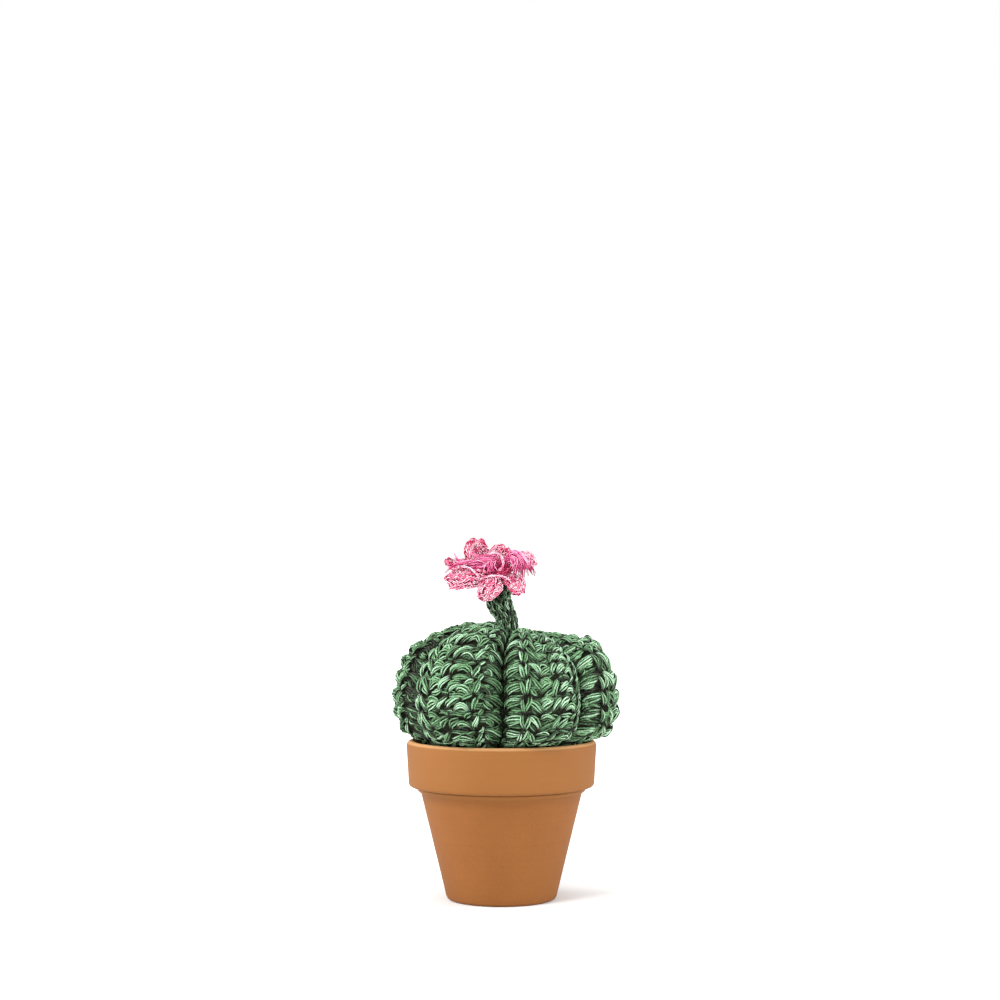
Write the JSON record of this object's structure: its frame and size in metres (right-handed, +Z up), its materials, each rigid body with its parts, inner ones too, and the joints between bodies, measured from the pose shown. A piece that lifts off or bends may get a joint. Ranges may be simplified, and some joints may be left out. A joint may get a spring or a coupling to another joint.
{
  "type": "crocheted round cactus in a terracotta pot",
  "caption": "Small stuffed crocheted cactus with round lobes and a flower on a short stem, seated in a tapered terracotta pot.",
  "frame": {"origin": "middle of the object's outline, on the surface that the pot stands on", "axes": "+Z up; -Y is the side seen in the picture, with +X to its right"},
  "size_m": [0.072, 0.0696, 0.1143],
  "materials": {
    "terracotta": "unglazed, matte, faint throwing lines",
    "green_yarn": "mercerised cotton, crocheted, soft shine",
    "dark_green_yarn": "mercerised cotton, crocheted, soft shine",
    "pink_yarn": "mercerised cotton in mixed pinks, crocheted",
    "magenta_floss": "silky embroidery floss",
    "fibrefill": "polyester stuffing"
  },
  "bodies": {
    "root": {"pot": "terracotta", "cactus_cover": "green_yarn", "cactus_stuffing": "fibrefill", "stem": "dark_green_yarn", "flower": "pink_yarn", "flower_tassel": "magenta_floss"}
  },
  "joints": []
}
